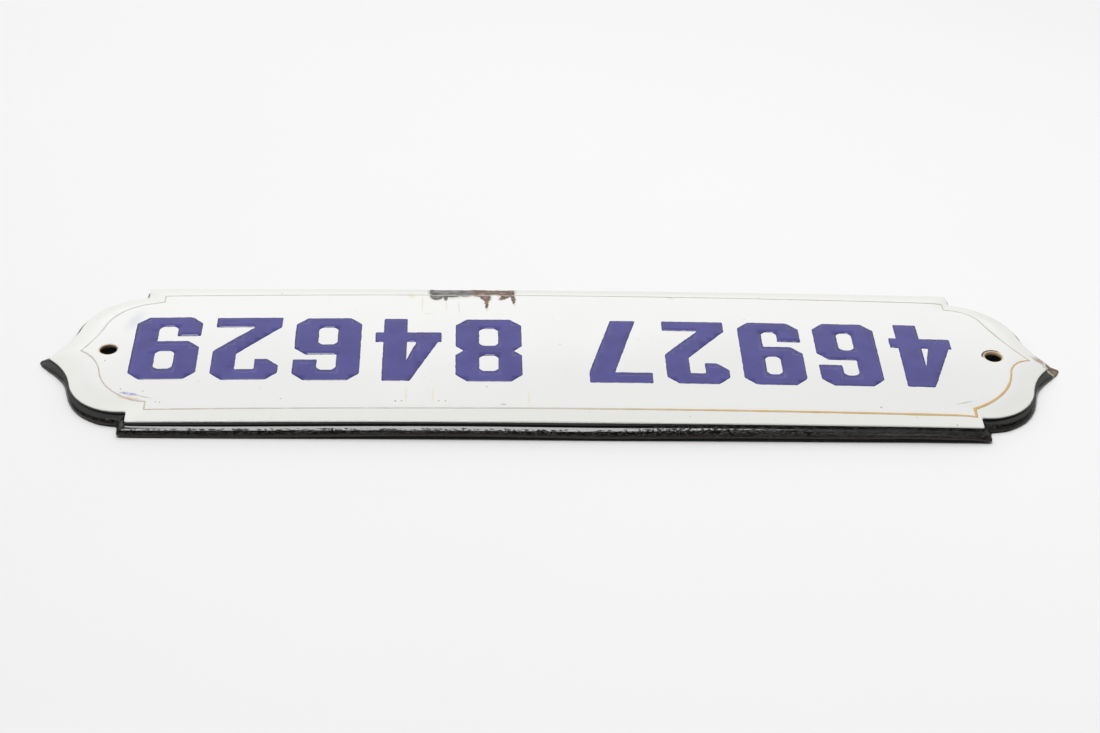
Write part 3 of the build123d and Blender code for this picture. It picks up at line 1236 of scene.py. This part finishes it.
class Surface:
    """The plate's upper side, for laying the print on it. It is felt for from a height above
    it, in metres."""

    above: float = 0.05

    def __init__(self, plate: bpy.types.Object) -> None:
        """Takes the plate's mesh."""
        corners = [vertex.co for vertex in plate.data.vertices]
        self.tree = BVHTree.FromPolygons(corners, [tuple(face.vertices) for face in plate.data.polygons])

    def heights(self, spots: np.ndarray) -> np.ndarray:
        """Height of the plate under each point of a plan.

        Args:
            spots: X and Y of each point, in millimetres.

        Returns:
            The heights, in millimetres.
        """
        down = Vector((0, 0, -1))
        made = []
        for x, y in spots:
            hit = self.tree.ray_cast(Vector((x * MM, y * MM, self.above)), down)[0]
            made.append(hit.z / MM if hit else made[-1])
        return np.array(made)


@dataclass(frozen=True)
class Numeral:
    """A block numeral with cut corners, on a cell that starts at its lower left."""

    width: float
    height: float = 33.0
    stem: float = 7.0
    bar: float = 5.3
    cut: float = 3.4

    def box(self, left: float, low: float, right: float, high: float, cut: float = 0.0) -> np.ndarray:
        """A rectangle, or an octagon where its corners are cut.

        Args:
            left: Its left side.
            low: Its lower side.
            right: Its right side.
            high: Its upper side.
            cut: Size of the cut corners.

        Returns:
            The corners, anticlockwise.
        """
        if not cut:
            return np.array([(left, low), (right, low), (right, high), (left, high)])
        return np.array(
            [
                (left + cut, low),
                (right - cut, low),
                (right, low + cut),
                (right, high - cut),
                (right - cut, high),
                (left + cut, high),
                (left, high - cut),
                (left, low + cut),
            ]
        )

    def turned(self, shapes: list[np.ndarray]) -> list[np.ndarray]:
        """The shapes turned upside down in the numeral's cell."""
        return [np.array([self.width, self.height]) - shape for shape in shapes]

    def shapes(self, digit: str) -> tuple[list[np.ndarray], list[np.ndarray]]:
        """The strokes of a numeral and what is cut from them.

        Args:
            digit: 2, 4, 6, 7, 8 or 9.

        Returns:
            The strokes and the cuts.
        """
        w, h, s, b, c = self.width, self.height, self.stem, self.bar, self.cut
        waist = h * 0.52
        inner = c * 0.32
        past = 1.0
        if digit == "9":
            strokes, cuts = self.shapes("6")
            return self.turned(strokes), self.turned(cuts)
        if digit == "8":
            notch = c * 0.7
            lower = self.box(s, b, w - s, waist - b / 2, inner)
            upper = self.box(s, waist + b / 2, w - s, h - b, inner)
            left = np.array([(-past, waist - notch - past), (notch, waist), (-past, waist + notch + past)])
            right = np.array([w, 2 * waist]) - left
            return [self.box(0, 0, w, h, c)], [lower, upper, left, right]
        if digit == "6":
            lower = self.box(s, b, w - s, waist - b / 2, inner)
            open_side = self.box(s, waist + b / 2, w + past, h - b - s * 0.75)
            throat = self.box(s, waist + b / 2, w - s, h - b, inner)
            arm = waist + b / 2
            shoulder = np.array([(w - c, arm), (w + past, arm), (w + past, arm - c - past)])
            return [self.box(0, 0, w, h, c)], [lower, open_side, throat, shoulder]
        if digit == "2":
            head = self.box(0, h - b - s * 0.75, w, h, c)
            neck = self.box(w - s, h * 0.55, w, h - c)
            slope = np.array([(0, b), (s * 1.15, b), (w, h * 0.55), (w - s, h * 0.6)])
            foot = self.box(0, 0, w, b)
            throat = self.box(s, h - b - s * 0.75 - past, w - s, h - b)
            return [head, neck, slope, foot], [throat]
        if digit == "4":
            right = w - 2.4
            rung = 7.6
            stem = self.box(right - s, 0, right, h)
            cross = self.box(0, rung, w, rung + b)
            low, inner_x = rung + b * 0.5, right - s
            head = [(inner_x, h - 10.6), (inner_x, h), (inner_x - 1.2, h)]
            slope = np.array([(0, low), (s * 0.95, low), *head])
            return [stem, cross, slope], []
        head = self.box(0, h - b, w, h)
        slope = np.array([(w * 0.2, 0), (w * 0.2 + s * 1.08, 0), (w, h - b), (w - s * 1.08, h - b)])
        return [head, slope], []


def divided(shape: np.ndarray, step: float) -> np.ndarray:
    """A closed shape with points spread along its sides.

    Args:
        shape: The corners.
        step: Distance between points.

    Returns:
        The points.
    """
    made = []
    for a, b in zip(shape, np.roll(shape, -1, 0)):
        count = max(1, int(round(np.hypot(*(b - a)) / step)))
        made += [a + (b - a) * k / count for k in range(count)]
    return np.array(made)


@dataclass
class Print:
    """Two groups of block numerals, fired on through a stencil. Each group has its digits and
    the larger and smaller X of its ends."""

    surface: Surface
    finish: PrintFinish = field(default_factory=PrintFinish)
    thick: float = 0.04
    sink: float = 0.03
    step: float = 0.45
    grid: float = 2.4
    off_grid: tuple[float, float] = (0.013, 0.017)
    rough: float = 0.035
    shake_share: float = 0.55
    soft_share: float = 0.5
    gap: float = 4.2
    groups: tuple[tuple[str, float, float], ...] = (("46927", 119.6, 10.0), ("84629", -9.6, -124.7))
    line_mid: float = -1.3
    line_lean: float = -0.0041
    line_bow: float = 0.000104
    seed: int = 5

    def __post_init__(self) -> None:
        """Makes the one material that the numerals share."""
        self.material = self.finish.make()

    def numeral(self, digit: str, right: float, width: float, name: str) -> bpy.types.Object:
        """Builds one numeral. It reads from the far side, so its top is towards -Y.

        Args:
            digit: Which numeral.
            right: X of its left-hand side as it is read, the larger X.
            width: Its width.
            name: The object's name.

        Returns:
            The numeral.
        """
        form = Numeral(width)
        strokes, cuts = form.shapes(digit)
        plan, edges = [], []
        for shape in strokes + cuts:
            line = divided(shape, self.step)
            edges += loop_edges(sum(len(p) for p in plan), len(line))
            plan.append(line)
        gx, gy = np.meshgrid(np.arange(1.0, width, self.grid), np.arange(1.0, form.height, self.grid))
        plan.append(np.column_stack([gx.ravel(), gy.ravel()]) + self.off_grid)
        flat, triangles, _ = triangulated(np.vstack(plan), edges)
        middles = flat[np.array(triangles)].mean(1)
        on = np.zeros(len(middles), bool)
        for shape in strokes:
            on |= covers(shape, middles)
        for shape in cuts:
            on &= ~covers(shape, middles)
        triangles = [face for face, kept in zip(triangles, on) if kept]
        return self.raised(flat, triangles, right, form, name)

    def raised(
        self, flat: np.ndarray, triangles: Faces, right: float, form: Numeral, name: str
    ) -> bpy.types.Object:
        """Lays a filled numeral on the plate and gives it its thin edge.

        Args:
            flat: X and Y of its points, on its cell.
            triangles: Its triangles.
            right: The larger X of its cell on the plate.
            form: The numeral's sizes.
            name: The object's name.

        Returns:
            The numeral.
        """
        used = sorted({k for face in triangles for k in face})
        number = {k: i for i, k in enumerate(used)}
        faces = [tuple(number[k] for k in face) for face in triangles]
        flat = flat[used]
        seen = {pair: None for face in faces for pair in zip(face, face[1:] + face[:1])}
        rim = [(a, b) for a, b in seen if (b, a) not in seen]
        after = dict(rim)
        before = {b: a for a, b in rim}
        border = sorted(after)
        keep, take = self.soft_share, (1 - self.soft_share) / 2
        soft = {a: flat[a] * keep + (flat[before[a]] + flat[after[a]]) * take for a in border}
        for a, spot in soft.items():
            flat[a] = spot
        chance = np.random.default_rng(self.seed + int(abs(right) * 10))
        shake = chance.normal(0, self.rough, (len(flat), 2))
        smooth = {a: (shake[a] + shake[after[a]] + shake[before[a]]) * self.shake_share for a in border}
        for a, push in smooth.items():
            flat[a] += push
        x = right - flat[:, 0]
        middle = right - form.width / 2
        line = self.line_mid + self.line_lean * middle + self.line_bow * middle**2
        y = line + form.height / 2 - flat[:, 1]
        spots = np.column_stack([x, y])
        z = self.surface.heights(spots)
        top = np.column_stack([spots, z + self.thick])
        low = np.column_stack([spots, z - self.sink])
        count = len(top)
        walls = [(b, a, a + count, b + count) for a, b in rim]
        back = [tuple(k + count for k in reversed(face)) for face in faces]
        return make_mesh(name, np.vstack([top, low]), faces + walls + back, self.material, len(faces))

    def build(self) -> list[bpy.types.Object]:
        """Builds both groups.

        Returns:
            The numerals.
        """
        made = []
        for group, (digits, high, low) in enumerate(self.groups, 1):
            width = (high - low - self.gap * (len(digits) - 1)) / len(digits)
            for k, digit in enumerate(digits):
                right = high - k * (width + self.gap)
                made.append(self.numeral(digit, right, width, f"numeral_{group}_{k + 1}"))
        return made


@dataclass(frozen=True)
class LineEnd:
    """A quarter of the line where it runs round one lobe to a cusp, in millimetres from the
    plaque's middle: the lobe's arc, the radius of the hollow one, the cusp and the corner."""

    lobe_x: float
    lobe_y: float
    lobe: float
    hollow: float
    cusp_x: float
    corner_x: float
    corner_y: float
    hollow_spots: int = 36
    lobe_spots: int = 52
    notch_spots: int = 9

    def points(self) -> np.ndarray:
        """X and Y of the points, from the cusp to the corner beside the long side."""
        middle, start = np.array([self.lobe_x, self.lobe_y]), np.array([self.cusp_x, 0.0])
        to_hollow = hollow_way(middle, self.lobe, self.hollow, start, 0.0)
        centre = middle + to_hollow
        meeting = math.atan2(to_hollow[1], to_hollow[0])
        cusp = math.atan2(centre[1], centre[0] - self.cusp_x)
        foot = math.acos((self.corner_x - self.lobe_x) / self.lobe)
        in_hollow = np.linspace(cusp, meeting, self.hollow_spots)
        in_lobe = np.linspace(meeting, foot, self.lobe_spots)
        hollow, lobe = arc(centre, -self.hollow, in_hollow), arc(middle, self.lobe, in_lobe)
        rise = np.linspace(lobe[-1][1], self.corner_y, self.notch_spots)[1:]
        notch = np.column_stack([np.full_like(rise, self.corner_x), rise])
        return np.vstack([hollow, lobe[1:], notch])


@dataclass
class Line:
    """Thin line fired round the panel by hand, so that no two of its ends are alike."""

    surface: Surface
    finish: LineFinish = field(default_factory=LineFinish)
    front_right: LineEnd = LineEnd(112.4, 5.05, 23.4, 10.7, 142.9, 121.6, 30.35)
    back_right: LineEnd = LineEnd(121.0, 15.5, 10.8, 54.0, 142.9, 121.0, 29.8)
    back_left: LineEnd = LineEnd(116.7, 8.5, 17.9, 41.0, 139.9, 117.9, 29.9)
    front_left: LineEnd = LineEnd(115.4, 8.9, 17.8, 19.0, 139.9, 118.0, 30.35)
    width: float = 0.5
    thick: float = 0.05
    sink: float = 0.02
    step: float = 0.5
    waver: float = 0.3
    waver_rounds: int = 6
    faint: float = 0.75
    gain_front: float = 0.1
    gain_front_right: float = 0.75
    front_y: Curve = ((-20.0, 0.0), (1.0, 0.0))
    right_x: Curve = ((-40.0, 110.0), (0.0, 1.0))
    seed: int = 3

    def loop(self) -> np.ndarray:
        """X and Y of the whole line, anticlockwise from the cusp at +X."""
        back_right, front_right = self.back_right.points(), self.front_right.points() * [1, -1]
        back_left, front_left = self.back_left.points() * [-1, 1], self.front_left.points() * [-1, -1]
        made = [back_right, self.side(back_right[-1], back_left[-1]), back_left[::-1]]
        made += [front_left[1:], self.side(front_left[-1], front_right[-1]), front_right[:0:-1]]
        return np.vstack(made)

    def side(self, start: np.ndarray, end: np.ndarray) -> np.ndarray:
        """Points between two corners, with neither of them."""
        count = int(np.hypot(*(end - start)) / self.step)
        return start + (end - start) * (np.arange(1, count) / count)[:, None]

    def build(self) -> bpy.types.Object:
        """Builds the line as a thin strip.

        Returns:
            The line.
        """
        loop = self.loop()
        chance = np.random.default_rng(self.seed)
        ahead = np.roll(loop, -1, 0) - np.roll(loop, 1, 0)
        ahead /= np.hypot(*ahead.T)[:, None]
        aside = np.column_stack([ahead[:, 1], -ahead[:, 0]])
        wide = chance.normal(0, 1, len(loop))
        for _ in range(self.waver_rounds):
            wide = (np.roll(wide, 1) + wide + np.roll(wide, -1)) / 3
        wide = self.width * (1 + self.waver * wide / np.abs(wide).max())
        front = np.interp(loop[:, 1], *self.front_y)
        right = np.interp(loop[:, 0], *self.right_x)
        strong = self.faint + front * right * self.gain_front_right + self.gain_front * front
        half_width = (wide * strong / 2)[:, None]
        rows = [loop + aside * half_width, loop - aside * half_width]
        tops = [np.column_stack([row, self.surface.heights(row) + self.thick]) for row in rows]
        lows = [top - [0, 0, self.thick + self.sink] for top in tops]
        count = len(loop)
        numbers = np.arange(4 * count).reshape(4, count).tolist()
        out_top, in_top, out_low, in_low = numbers
        faces = band(out_top, in_top)
        for first, second in ((out_low, out_top), (in_top, in_low), (in_low, out_low)):
            faces += band(first, second)
        return make_mesh("ochre_line", np.vstack(tops + lows), faces, self.finish.make(), count)


@dataclass(frozen=True)
class Studio:
    """White table, soft light and the camera."""

    table_half: float = 4.0
    table_cells: int = 12
    daylight: float = 1.17
    dim: float = 0.06
    box_power: float = 10.0
    box_at: tuple[float, float, float] = (-0.13, -0.30, 1.25)
    box_aim: tuple[float, float, float] = (-0.039, -0.03, 0.0)
    box_size: tuple[float, float] = (0.70, 0.34)
    lit_back: float = 0.9
    lit_side: float = 0.3
    dim_until: float = 0.55
    lit_from: float = 1.25
    camera_at: tuple[float, float, float] = (-1.04, -595.51, 402.22)
    camera_down: float = 34.0
    camera_turn: float = 2.612
    camera_roll: float = 1.933
    focal: float = 2405.5
    image_width: float = 1100.0
    sensor: float = 36.0
    clip: tuple[float, float] = (0.05, 20.0)

    def table(self) -> bpy.types.Object:
        """Builds the table.

        Returns:
            The table.
        """
        rows = self.table_cells
        line = np.linspace(-self.table_half, self.table_half, rows + 1) / MM
        gx, gy = np.meshgrid(line, line)
        points = np.column_stack([gx.ravel(), gy.ravel(), np.zeros(gx.size)])
        faces = []
        for j in range(rows):
            for k in range(rows):
                a = j * (rows + 1) + k
                faces.append((a, a + 1, a + rows + 2, a + rows + 1))
        made = make_mesh("white_table", points, faces, TableFinish().make())
        return made

    def light(self) -> None:
        """Sets the room's light, which is dim in front of the table, and the box of light."""
        shader = Shader(bpy.data.worlds.new("white_room"))
        way = shader.node("ShaderNodeTexCoord", {}, {}, "Generated")
        x, y, z = shader.axes(way)
        lit = (z + y * self.lit_back + x.size() * self.lit_side).rise(self.dim_until, self.lit_from)
        strength = lit * (self.daylight - self.dim) + self.dim
        room = shader.node("ShaderNodeBackground", {}, {"Strength": strength}, 0)
        shader.node("ShaderNodeOutputWorld", {}, {"Surface": room})
        bpy.context.scene.world = shader.owner
        lamp = bpy.data.lights.new("light_box", "AREA")
        lamp.shape = "RECTANGLE"
        lamp.size, lamp.size_y = self.box_size
        lamp.energy = self.box_power
        box = bpy.data.objects.new("light_box", lamp)
        box.location = self.box_at
        box.rotation_euler = (Vector(self.box_at) - Vector(self.box_aim)).to_track_quat("Z", "Y").to_euler()
        bpy.context.scene.collection.objects.link(box)

    def camera(self) -> None:
        """Sets the camera at the viewpoint of a table photograph."""
        data = bpy.data.cameras.new("camera")
        data.sensor_width = self.sensor
        data.lens = self.sensor * self.focal / self.image_width
        data.clip_start, data.clip_end = self.clip
        down = math.radians(self.camera_down)
        roll = math.radians(self.camera_roll)
        turn = Matrix.Rotation(-math.radians(self.camera_turn), 3, "Z")
        ahead = Vector((0, math.cos(down), -math.sin(down)))
        right = Vector((1, 0, 0))
        up = right.cross(ahead)
        across = turn @ (right * math.cos(roll) + up * math.sin(roll))
        upward = turn @ (up * math.cos(roll) - right * math.sin(roll))
        back = turn @ -ahead
        made = bpy.data.objects.new("camera", data)
        place = turn @ (Vector(self.camera_at) * MM)
        made.matrix_world = Matrix(
            [
                (across.x, upward.x, back.x, place.x),
                (across.y, upward.y, back.y, place.y),
                (across.z, upward.z, back.z, place.z),
                (0, 0, 0, 1),
            ]
        )
        bpy.context.scene.collection.objects.link(made)
        bpy.context.scene.camera = made

    def build(self) -> None:
        """Builds the whole studio."""
        self.table()
        self.light()
        self.camera()
        bpy.context.scene.view_settings.view_transform = "Standard"


def seat(piece: bpy.types.Object) -> None:
    """Makes a piece ride with the plaque.

    Args:
        piece: The piece.
    """
    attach(piece, BODY)
    log.info("%s: %d faces", piece.name, len(piece.data.polygons))


def main() -> None:
    """Builds the plaque, its print and the studio."""
    logging.basicConfig(level=logging.INFO, format="%(name)s: %(message)s")
    Studio().build()
    plate = Plate().build()
    seat(plate)
    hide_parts(NODE)
    surface = Surface(plate)
    for numeral in Print(surface).build():
        seat(numeral)
    seat(Line(surface).build())
    bpy.context.view_layer.update()


if __name__ == "__main__":
    main()
